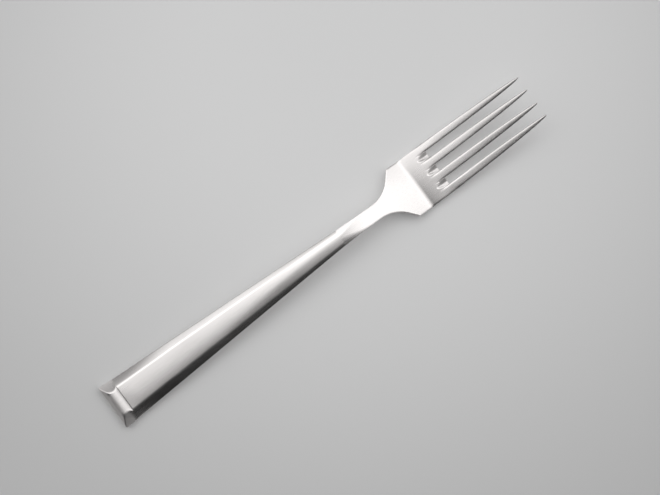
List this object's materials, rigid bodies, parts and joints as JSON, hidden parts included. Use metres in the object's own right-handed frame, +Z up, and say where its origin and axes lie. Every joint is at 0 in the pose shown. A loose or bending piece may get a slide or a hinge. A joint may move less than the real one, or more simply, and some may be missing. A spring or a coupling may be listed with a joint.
{
  "type": "dessert fork",
  "caption": "Dessert fork with slim pointed tines, angular shoulders and a hollow flared handle that ends in a half-round roll; for eating cake, fruit and other desserts.",
  "frame": {"origin": "on the table under the middle of the fork's length and width, with the fork lying tines up", "axes": "+X along the fork from the butt to the tine tips, +Y to the left across the fork, +Z up out of the table"},
  "size_m": [0.183, 0.0204, 0.009],
  "materials": {
    "head_steel": "satin",
    "handle_steel": "satin",
    "cement": "matt, mineral-filled resin"
  },
  "bodies": {
    "root": {"fork_head": "head_steel", "handle_front": "handle_steel", "handle_back": "handle_steel", "butt_roll": "handle_steel", "tang_cement": "cement"}
  },
  "joints": []
}
